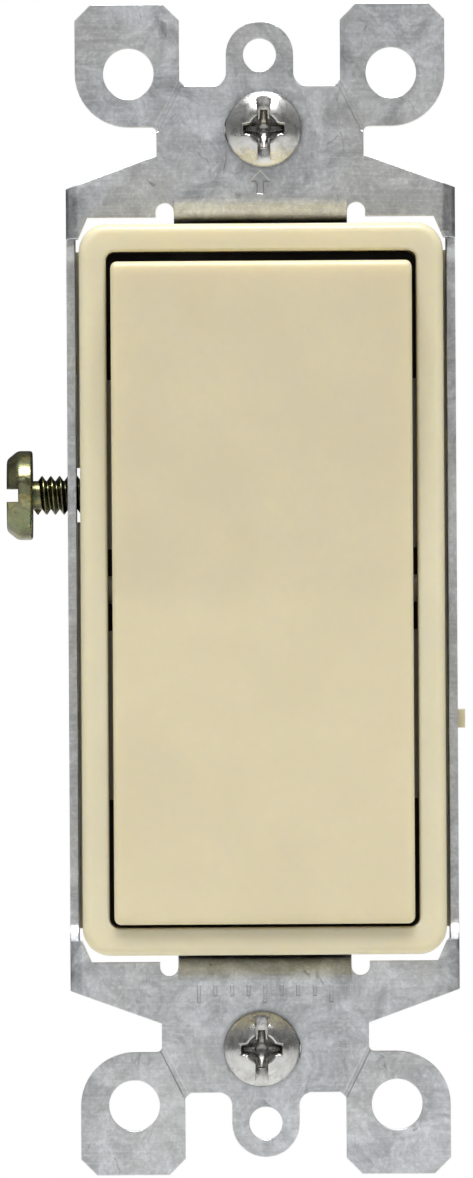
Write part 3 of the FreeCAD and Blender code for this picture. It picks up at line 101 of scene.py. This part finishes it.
# ---------------------------------------------------------------- node graphs
class Graph:
    """A material's nodes, one short call each. Lengths are in mm and colours are linear."""

    def __init__(self, name, **shader):
        self.material = bpy.data.materials.new(name)
        self.material.use_nodes = True
        self.tree = self.material.node_tree
        self.tree.nodes.clear()
        self.shader = self.node("ShaderNodeBsdfPrincipled")
        output = self.node("ShaderNodeOutputMaterial")
        self.tree.links.new(self.shader.outputs[0], output.inputs[0])
        self.place = self.node("ShaderNodeTexCoord").outputs["Object"]
        for key, amount in shader.items():
            self.shader.inputs[key.replace("_", " ")].default_value = amount

    def node(self, kind, **settings):
        made = self.tree.nodes.new(kind)
        for key, amount in settings.items():
            setattr(made, key, amount)
        return made

    def feed(self, socket, source):
        if isinstance(source, bpy.types.NodeSocket):
            self.tree.links.new(source, socket)
        else:
            socket.default_value = source

    def set(self, name, source):
        self.feed(self.shader.inputs[name], source)

    def at(self, size=(1, 1, 1), turn=(0, 0, 0)):
        """Object coordinates divided by a size in mm along each axis."""
        mapping = self.node("ShaderNodeMapping")
        self.tree.links.new(self.place, mapping.inputs["Vector"])
        mapping.inputs["Rotation"].default_value = turn
        mapping.inputs["Scale"].default_value = [1 / (s * MM) for s in size]
        return mapping.outputs[0]

    def noise(self, size, detail=3.0, rough=0.5, warp=0.0, turn=(0, 0, 0)):
        """Cloudy values around 0.5 whose blobs are about size mm across."""
        size = (size,) * 3 if isinstance(size, (int, float)) else size
        made = self.node("ShaderNodeTexNoise")
        self.tree.links.new(self.at(size, turn), made.inputs["Vector"])
        for key, amount in (("Scale", 1.0), ("Detail", detail), ("Roughness", rough), ("Distortion", warp)):
            made.inputs[key].default_value = amount
        return made.outputs["Fac"]

    def spots(self, size, reach, keep=1.0):
        """1 in round spots of radius reach, one in each cell size mm across, in a share keep of the cells."""
        made = self.node("ShaderNodeTexVoronoi")
        self.tree.links.new(self.at((size,) * 3), made.inputs["Vector"])
        made.inputs["Scale"].default_value = 1.0
        near = self.ramp(made.outputs["Distance"], reach / size, 0.6 * reach / size)
        chosen = self.node("ShaderNodeSeparateColor")
        self.tree.links.new(made.outputs["Color"], chosen.inputs[0])
        return self.math("MULTIPLY", near, self.math("LESS_THAN", chosen.outputs[0], keep))

    def ramp(self, source, low, high, out_low=0.0, out_high=1.0):
        made = self.node("ShaderNodeMapRange", interpolation_type="SMOOTHSTEP")
        self.feed(made.inputs["Value"], source)
        ends = ((low, high) if low < high else (high, low))
        outs = ((out_low, out_high) if low < high else (out_high, out_low))
        for key, amount in zip(("From Min", "From Max", "To Min", "To Max"), (*ends, *outs)):
            made.inputs[key].default_value = amount
        return made.outputs["Result"]

    def math(self, kind, a, b=0.0):
        made = self.node("ShaderNodeMath", operation=kind)
        self.feed(made.inputs[0], a)
        self.feed(made.inputs[1], b)
        return made.outputs[0]

    def mix(self, share, a, b, blend="MIX"):
        made = self.node("ShaderNodeMix", data_type="RGBA", blend_type=blend)
        self.feed(made.inputs["Factor"], share)
        self.feed(made.inputs[6], a)
        self.feed(made.inputs[7], b)
        return made.outputs[2]

    def rounded(self, radius):
        """The surface normal with sharp edges rounded by radius mm."""
        made = self.node("ShaderNodeBevel", samples=6)
        made.inputs["Radius"].default_value = radius * MM
        return made.outputs[0]

    def edges(self, radius, low=0.03, high=0.35):
        """1 along sharp edges, within radius mm of them."""
        dot = self.node("ShaderNodeVectorMath", operation="DOT_PRODUCT")
        self.tree.links.new(self.rounded(radius), dot.inputs[0])
        self.tree.links.new(self.node("ShaderNodeNewGeometry").outputs["Normal"], dot.inputs[1])
        away = self.math("SUBTRACT", 1.0, dot.outputs["Value"])
        return self.ramp(away, low, high)

    def crevices(self, reach, low=0.25, high=0.95):
        """1 deep in corners and slots narrower than reach mm, from ambient occlusion; the finishes paint shade
        with it.
        """
        made = self.node("ShaderNodeAmbientOcclusion", samples=6)
        made.inputs["Distance"].default_value = reach * MM
        return self.ramp(made.outputs["AO"], high, low)

    def bump(self, layers, normal=None):
        """Layers are (height source, depth in mm), the last one outermost."""
        for source, depth in layers:
            made = self.node("ShaderNodeBump")
            made.inputs["Distance"].default_value = depth * MM
            made.inputs["Strength"].default_value = 1.0
            self.feed(made.inputs["Height"], source)
            if normal is not None:
                self.tree.links.new(normal, made.inputs["Normal"])
            normal = made.outputs[0]
        self.tree.links.new(normal, self.shader.inputs["Normal"])


# ---------------------------------------------------------------- finishes
def moulded(name, base, dust_and_shade, roughness, edge_lift=1.06, sheen_size=9.0, edge=0.12, glow=0.0):
    """Smooth moulded plastic: clouding, orange peel, dust specks, rubbed edges and painted shade in the
    corners.
    """
    g = Graph(name, Specular_IOR_Level=0.5, IOR=1.47, Subsurface_Weight=glow,
              Subsurface_Radius=(1.0, 0.82, 0.34), Subsurface_Scale=2.4 * MM)
    clouds = g.noise(sheen_size, 4, 0.55, 0.4)
    fine = g.noise(0.7, 3, 0.6)
    colour = g.mix(g.ramp(clouds, 0.3, 0.7), scaled(base, 0.965), scaled(base, 1.02))
    colour = g.mix(g.ramp(fine, 0.35, 0.75, 0.0, 0.5), colour, scaled(base, 0.975))
    colour = g.mix(g.math("MULTIPLY", g.spots(3.1, 0.09, 0.35), 0.35), colour, dust_and_shade)
    colour = g.mix(g.math("MULTIPLY", g.edges(0.35), 0.45), colour, scaled(base, edge_lift))
    # painted shade: corners and narrow slots take the second colour, the one the dust specks also use
    colour = g.mix(g.math("MULTIPLY", g.crevices(1.2), 0.4), colour, dust_and_shade)
    g.set("Base Color", colour)
    low, high = roughness
    g.set("Roughness", g.ramp(g.noise(2.4, 5, 0.62, 0.6), 0.3, 0.7, low, high))
    g.bump([(g.noise(3.5, 2, 0.5), 0.012), (g.noise(0.22, 2, 0.5), 0.0035)], g.rounded(edge))
    return g.material


def rolled_steel(name, base):
    """Plated sheet steel: rolling lines, blotchy grainy plating, dark smudges, painted shade in the corners and
    painted glints along the sheared edges.
    """
    g = Graph(name, Metallic=1.0)
    streaks = g.noise((7.0, 0.5, 0.22), 5, 0.66, 0.5)
    upright = g.noise((0.35, 0.5, 4.0), 4, 0.62, 0.6)
    grain = g.noise(0.34, 4, 0.7)
    blotches = g.noise(3.6, 7, 0.72, 0.8)
    clouds = g.noise(15.0, 3, 0.5, 0.5)
    smudges = g.noise((1.5, 1.5, 2.6), 5, 0.62, 1.0)
    scuffs = g.noise((0.5, 0.5, 2.6), 4, 0.7, 0.6, (0, 0.5, 0))
    colour = g.mix(g.ramp(blotches, 0.3, 0.7), scaled(base, 0.60), scaled(base, 1.30))
    warm = (base[0] * 0.93, base[1] * 0.90, base[2] * 0.80, 1)
    colour = g.mix(g.ramp(clouds, 0.42, 0.64, 0.0, 0.5), colour, warm)
    colour = g.mix(g.ramp(streaks, 0.45, 0.72, 0.0, 0.30), colour, scaled(base, 1.4))
    colour = g.mix(g.ramp(streaks, 0.45, 0.26, 0.0, 0.28), colour, scaled(base, 0.58))
    colour = g.mix(g.ramp(upright, 0.56, 0.78, 0.0, 0.22), colour, scaled(base, 0.6))
    colour = g.mix(g.ramp(grain, 0.3, 0.7, 0.30, 0.0), colour, scaled(base, 0.52))
    colour = g.mix(g.ramp(grain, 0.5, 0.8, 0.0, 0.30), colour, scaled(base, 1.5))
    colour = g.mix(g.ramp(smudges, 0.62, 0.74, 0.0, 0.75), colour, scaled(base, 0.36))
    colour = g.mix(g.ramp(scuffs, 0.68, 0.80, 0.0, 0.5), colour, scaled(base, 0.45))
    # painted shade: the colour darkens deep in corners and slots
    colour = g.mix(g.math("MULTIPLY", g.crevices(0.9), 0.35), colour, scaled(base, 0.35))
    # painted highlight: edges go near white, standing in for glints of the overhead light
    colour = g.mix(g.math("MULTIPLY", g.edges(0.2), 0.85), colour, (1.0, 1.0, 1.0, 1.0))
    g.set("Base Color", colour)
    rough = g.math("ADD", g.ramp(blotches, 0.3, 0.7, 0.30, 0.48), g.ramp(streaks, 0.3, 0.7, -0.04, 0.05))
    g.set("Roughness", g.math("ADD", rough, g.ramp(smudges, 0.58, 0.75, 0.0, 0.14)))
    layers = [(g.noise(6.0, 2, 0.5), 0.07), (g.noise(1.8, 3, 0.5), 0.016), (streaks, 0.009), (upright, 0.006),
              (grain, 0.006)]
    g.bump(layers, g.rounded(0.14))
    return g.material


def turned_metal(name, base, dark, roughness=(0.22, 0.36), tint=None, crevice=1.0, blotch=1.6, reach=0.8):
    """Plated, turned or cold-headed metal: blotchy film, fine scratches, painted shade in the corners and
    painted highlights along the edges.
    """
    g = Graph(name, Metallic=1.0)
    film = g.noise(blotch, 5, 0.62, 0.9)
    scratches = g.noise((0.05, 0.05, 0.9), 3, 0.6, 0.3, (0.5, 0.4, 0.2))
    colour = g.mix(g.ramp(film, 0.3, 0.7), scaled(base, 0.84), scaled(base, 1.1))
    if tint is not None:
        for step, extra in enumerate(tint):
            patch = g.noise(blotch * (0.8 + 0.5 * step), 4, 0.6, 1.0, (0.7 * step, 0.3, 1.1))
            colour = g.mix(g.ramp(patch, 0.50, 0.66, 0.0, 0.75), colour, extra)
    colour = g.mix(g.ramp(scratches, 0.62, 0.80, 0.0, 0.4), colour, scaled(base, 0.6))
    # painted shade: deep corners and thread roots take the dark colour
    colour = g.mix(g.math("MULTIPLY", g.crevices(reach), 0.95 * crevice), colour, dark)
    # painted highlight: edges lighter, standing in for glints
    colour = g.mix(g.math("MULTIPLY", g.edges(0.10), 0.55), colour, scaled(base, 1.45))
    g.set("Base Color", colour)
    low, high = roughness
    filmed = g.ramp(film, 0.3, 0.7, low, high)
    g.set("Roughness", g.math("ADD", filmed, g.ramp(scratches, 0.5, 0.8, 0.0, 0.08)))
    g.bump([(g.noise(0.9, 3, 0.55), 0.012), (scratches, 0.002)], g.rounded(0.09))
    return g.material


def pressed_fibre(name, base):
    """Vulcanised fibre sheet: matted fibres, mottled colour and fuzzy cut edges."""
    g = Graph(name, Specular_IOR_Level=0.35)
    mat = g.noise((0.9, 0.9, 0.14), 4, 0.7, 1.5, (0.0, 0.6, 0.0))
    cross = g.noise((0.14, 0.9, 0.9), 4, 0.7, 1.5, (0.0, 0.4, 0.0))
    both = g.math("MULTIPLY", g.math("ADD", mat, cross), 0.5)
    colour = g.mix(g.ramp(both, 0.35, 0.65), scaled(base, 0.72), scaled(base, 1.22))
    colour = g.mix(g.ramp(g.noise(2.0, 4, 0.6), 0.5, 0.7, 0.0, 0.4), colour, scaled(base, 0.6))
    colour = g.mix(g.math("MULTIPLY", g.edges(0.2), 0.5), colour, scaled(base, 1.4))
    g.set("Base Color", colour)
    g.set("Roughness", g.ramp(both, 0.3, 0.7, 0.68, 0.88))
    g.bump([(both, 0.04)], g.rounded(0.1))
    return g.material


IVORY = linear(215, 207, 179)
IVORY_DUST_AND_SHADE = linear(128, 108, 70)
# Each plastic's second colour paints both dust specks and shade in its corners; each turned metal's second
# colour is painted shade for its corners and thread roots.
finishes = {
    "steel": rolled_steel("sheet steel", (0.61, 0.625, 0.65, 1.0)),
    "frame_ivory": moulded("frame ivory", IVORY, IVORY_DUST_AND_SHADE, (0.28, 0.38), glow=0.6),
    "rocker_ivory": moulded("rocker ivory", linear(213, 202, 171), IVORY_DUST_AND_SHADE, (0.31, 0.42), glow=0.6),
    "housing_black": moulded("housing thermoset", linear(52, 46, 40), linear(24, 20, 16),
                             (0.42, 0.58), 1.8, 5.0),
    "cradle_nylon": moulded("cradle nylon", linear(212, 208, 196), linear(120, 110, 90),
                            (0.40, 0.55), 1.04, 4.0),
    "brass": turned_metal("strip brass", (0.70, 0.50, 0.20, 1), (0.16, 0.10, 0.04, 1), (0.26, 0.42),
                          [(0.50, 0.30, 0.12, 1), (0.62, 0.50, 0.26, 1)], 0.6, 3.0),
    "silver": turned_metal("contact silver", (0.80, 0.78, 0.74, 1), (0.22, 0.20, 0.18, 1), (0.24, 0.40),
                           [(0.55, 0.50, 0.42, 1)], 0.6, 0.8),
    "screw_steel": turned_metal("zinc plated steel", (0.55, 0.55, 0.54, 1),
                                (0.075, 0.062, 0.048, 1), (0.20, 0.34),
                                [(0.40, 0.39, 0.37, 1), (0.66, 0.66, 0.65, 1)], 1.0, 1.4, 1.7),
    "ground_screw_finish": turned_metal("olive chromate steel", (0.21, 0.22, 0.12, 1),
                                        (0.020, 0.018, 0.012, 1), (0.18, 0.34),
                                        [(0.16, 0.22, 0.12, 1), (0.44, 0.37, 0.16, 1),
                                         (0.14, 0.12, 0.10, 1)], 1.0, 1.1, 1.2),
    "terminal_screw_finish": turned_metal("brass plated steel", (0.72, 0.55, 0.24, 1), (0.10, 0.07, 0.03, 1),
                                          (0.22, 0.36), [(0.56, 0.40, 0.18, 1)], 1.0, 1.6),
    "fibre": pressed_fibre("vulcanised fibre", linear(150, 120, 88)),
    "spring_steel": turned_metal("spring steel", (0.50, 0.50, 0.52, 1), (0.14, 0.13, 0.12, 1), (0.24, 0.38),
                                 [(0.40, 0.36, 0.30, 1)], 0.6, 1.4),
    "rivet_steel": turned_metal("rivet steel", (0.58, 0.58, 0.58, 1), (0.14, 0.13, 0.12, 1), (0.26, 0.42)),
}

slot_of = {part["node"]: part["material_slot"] for part in frame["record"]["subparts"]}
for name, node in frame["nodes"].items():
    node.data.materials.clear()
    node.data.materials.append(finishes[slot_of[name]])


# ---------------------------------------------------------------- mounting screws with a real thread
def ring(bm, centre, radius, y, steps):
    return [bm.verts.new((centre[0] + radius * math.cos(math.tau * k / steps), y,
                          centre[1] + radius * math.sin(math.tau * k / steps))) for k in range(steps)]


def bridge(bm, first, second):
    for k in range(len(first)):
        j = (k + 1) % len(first)
        bm.faces.new((first[k], first[j], second[j], second[k]))


def thread(bm, centre, start, end):
    """A helical V ridge between two heights, fading out at both ends, closed on itself."""
    turns = (end - start) / THREAD_PITCH - 1
    steps = THREAD_STEPS
    count = int(turns * steps)
    profile = ((0.0, 0.0), (0.44, 1.0), (0.56, 1.0), (1.0, 0.0))
    sunk = THREAD_MINOR - THREAD_ROOT_SUNK
    rows = []
    for i in range(count + 1):
        angle = math.tau * i / steps
        fade = min(1.0, i / (0.6 * steps), (count - i) / (1.2 * steps))
        row = []
        for along, rise in profile:
            radius = sunk + (THREAD_MAJOR - sunk) * rise * max(fade, 0.02)
            y = start + THREAD_PITCH * (i / steps + 0.04 + 0.92 * along)
            row.append(bm.verts.new((centre[0] + radius * math.cos(angle), y,
                                     centre[1] + radius * math.sin(angle))))
        rows.append(row)
    for a, b in zip(rows, rows[1:]):
        for k in range(4):
            j = (k + 1) % 4
            bm.faces.new((a[k], b[k], b[j], a[j]))
    bm.faces.new(rows[0])
    bm.faces.new(rows[-1][::-1])


def threaded_screw(node, label):
    """The CAD screw's head and neck, with a threaded shank in place of its plain one."""
    low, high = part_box(node)
    centre = ((low.x + high.x) / 2 / MM, (low.z + high.z) / 2 / MM)
    bm = bmesh.new()
    bm.from_mesh(frame["nodes"][node].data)
    bmesh.ops.scale(bm, vec=(1 / MM,) * 3, verts=bm.verts)
    bmesh.ops.remove_doubles(bm, verts=bm.verts, dist=1e-4)
    shank = [f for f in bm.faces if f.calc_center_median().y > THREAD_START - 0.01]
    bmesh.ops.delete(bm, geom=shank, context="FACES")
    loose = [v for v in bm.verts if not v.link_faces]
    bmesh.ops.delete(bm, geom=loose, context="VERTS")
    bmesh.ops.holes_fill(bm, edges=[e for e in bm.edges if e.is_boundary], sides=0)
    core = [ring(bm, centre, radius, y, CORE_STEPS) for radius, y in (
        (THREAD_MINOR, THREAD_START - 0.2), (THREAD_MINOR, THREAD_END - TIP_LENGTH),
        (THREAD_MINOR - 0.3, THREAD_END - 0.1), (THREAD_MINOR - 0.45, THREAD_END))]
    for a, b in zip(core, core[1:]):
        bridge(bm, a, b)
    bm.faces.new(core[0])
    bm.faces.new(core[-1][::-1])
    thread(bm, centre, THREAD_START + 0.05, THREAD_END - 0.35)
    bmesh.ops.recalc_face_normals(bm, faces=bm.faces)
    bmesh.ops.scale(bm, vec=(MM,) * 3, verts=bm.verts)
    mesh = bpy.data.meshes.new(label)
    bm.to_mesh(mesh)
    bm.free()
    mesh.materials.append(finishes["screw_steel"])
    mesh.shade_smooth()
    mesh.set_sharp_from_angle(angle=math.radians(CREASE))
    piece = bpy.data.objects.new(label, mesh)
    bpy.context.scene.collection.objects.link(piece)
    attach(piece, node)
    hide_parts(node)
    return piece


for end in ("top", "bottom"):
    threaded_screw(f"mounting_screw_{end}", f"threaded_screw_{end}")


# ---------------------------------------------------------------- the spring, a fixed copy of the CAD one
def sprung_spring(node, label):
    """The CAD spring's mesh, copied into a fixed piece that stands in for the CAD node."""
    mesh = frame["nodes"][node].data.copy()
    mesh.name = label
    piece = bpy.data.objects.new(label, mesh)
    bpy.context.scene.collection.objects.link(piece)
    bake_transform(piece)
    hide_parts(node)


sprung_spring("plunger_spring", "coil_spring")


# ---------------------------------------------------------------- studio
def area_light(label, energy, size, place, aim, colour=(1, 1, 1)):
    light = bpy.data.lights.new(label, "AREA")
    light.shape = "RECTANGLE"
    light.size, light.size_y = size
    light.energy = energy
    light.color = colour
    lamp = bpy.data.objects.new(label, light)
    bpy.context.scene.collection.objects.link(lamp)
    lamp.location = place
    lamp.rotation_mode = "QUATERNION"
    lamp.rotation_quaternion = (Vector(aim) - Vector(place)).to_track_quat("-Z", "Y")
    return lamp


def make_world():
    """White to the camera; to everything else a room brighter above than below and brightest at its sides."""
    world = bpy.data.worlds.new("studio")
    bpy.context.scene.world = world
    world.use_nodes = True
    tree = world.node_tree
    tree.nodes.clear()
    output = tree.nodes.new("ShaderNodeOutputWorld")
    seen = tree.nodes.new("ShaderNodeBackground")
    seen.inputs["Color"].default_value = (1, 1, 1, 1)
    room = tree.nodes.new("ShaderNodeBackground")
    split = tree.nodes.new("ShaderNodeMixShader")
    path = tree.nodes.new("ShaderNodeLightPath")
    place = tree.nodes.new("ShaderNodeTexCoord")
    parts = tree.nodes.new("ShaderNodeSeparateXYZ")
    ramp = tree.nodes.new("ShaderNodeValToRGB")
    ramp.color_ramp.interpolation = "EASE"
    stops = ((0.0, 0.07), (0.42, 0.12), (0.55, 0.17), (0.8, 0.26), (1.0, 0.3))
    for k, (where, bright) in enumerate(stops):
        stop = ramp.color_ramp.elements[k] if k < 2 else ramp.color_ramp.elements.new(where)
        stop.position = where
        stop.color = (bright, bright, bright * 0.99, 1)
    half = tree.nodes.new("ShaderNodeMapRange")
    half.inputs["From Min"].default_value = -1
    tree.links.new(place.outputs["Generated"], parts.inputs[0])
    tree.links.new(parts.outputs["Z"], half.inputs["Value"])
    tree.links.new(half.outputs[0], ramp.inputs[0])
    round_the_room = tree.nodes.new("ShaderNodeFloatCurve")
    depth_stops = ((0.0, 0.30), (0.2, 0.32), (0.42, 0.75), (0.52, 0.75), (0.66, 0.30), (1.0, 0.22))
    curve = round_the_room.mapping.curves[0]
    curve.points[0].location = depth_stops[0]
    curve.points[-1].location = depth_stops[-1]
    for stop in depth_stops[1:-1]:
        curve.points.new(*stop)
    depth = tree.nodes.new("ShaderNodeMapRange")
    depth.inputs["From Min"].default_value = -1
    tree.links.new(parts.outputs["Y"], depth.inputs["Value"])
    tree.links.new(depth.outputs[0], round_the_room.inputs["Value"])
    louder = tree.nodes.new("ShaderNodeMath")
    louder.operation = "MULTIPLY"
    louder.inputs[1].default_value = ROOM_STRENGTH
    tree.links.new(round_the_room.outputs[0], louder.inputs[0])
    tree.links.new(louder.outputs[0], room.inputs["Strength"])
    tree.links.new(ramp.outputs[0], room.inputs["Color"])
    tree.links.new(path.outputs["Is Camera Ray"], split.inputs[0])
    tree.links.new(room.outputs[0], split.inputs[1])
    tree.links.new(seen.outputs[0], split.inputs[2])
    tree.links.new(split.outputs[0], output.inputs[0])


def make_floor():
    bm = bmesh.new()
    rims = [ring(bm, (0, 0), radius, 0, 96) for radius in (FLOOR_RADIUS, FLOOR_RADIUS * 0.995)]
    for v in bm.verts:
        v.co = (v.co.x * MM, v.co.z * MM, FLOOR_Z * MM)
    for v in rims[0]:
        v.co.z -= FLOOR_LIP * MM
    bridge(bm, rims[0], rims[1])
    bm.faces.new(rims[1])
    bmesh.ops.recalc_face_normals(bm, faces=bm.faces)
    if sum(f.normal.z for f in bm.faces) < 0:
        bmesh.ops.reverse_faces(bm, faces=bm.faces)
    mesh = bpy.data.meshes.new("floor")
    bm.to_mesh(mesh)
    bm.free()
    g = Graph("floor card")
    cloud = g.noise(60.0, 4, 0.5)
    g.set("Base Color", g.mix(g.ramp(cloud, 0.3, 0.7), (0.84, 0.84, 0.83, 1), (0.88, 0.88, 0.87, 1)))
    g.set("Roughness", g.ramp(cloud, 0.3, 0.7, 0.75, 0.9))
    mesh.materials.append(g.material)
    floor = bpy.data.objects.new("floor", mesh)
    bpy.context.scene.collection.objects.link(floor)


def make_camera():
    camera = bpy.data.cameras.new("camera")
    camera.sensor_width = SENSOR
    camera.lens = SENSOR * CAMERA_DISTANCE / FRAMED_HEIGHT
    camera.clip_start = 0.1
    camera.clip_end = 20
    holder = bpy.data.objects.new("camera", camera)
    holder.location = (CAMERA_X * MM, -CAMERA_DISTANCE * MM, CAMERA_Z * MM)
    holder.rotation_euler = (math.pi / 2, math.radians(CAMERA_ROLL), 0)
    bpy.context.scene.collection.objects.link(holder)
    bpy.context.scene.camera = holder


make_world()
make_floor()
area_light("overhead box", OVERHEAD_POWER, (0.7, 0.34), (0.0, -0.42, 1.0), (0, 0, 0))
area_light("front fill", FILL_POWER, (1.6, 1.2), (-0.2, -2.2, 0.5), (0, 0, 0))
make_camera()
bpy.context.scene.view_settings.view_transform = "Standard"
bpy.context.scene.view_settings.look = "None"
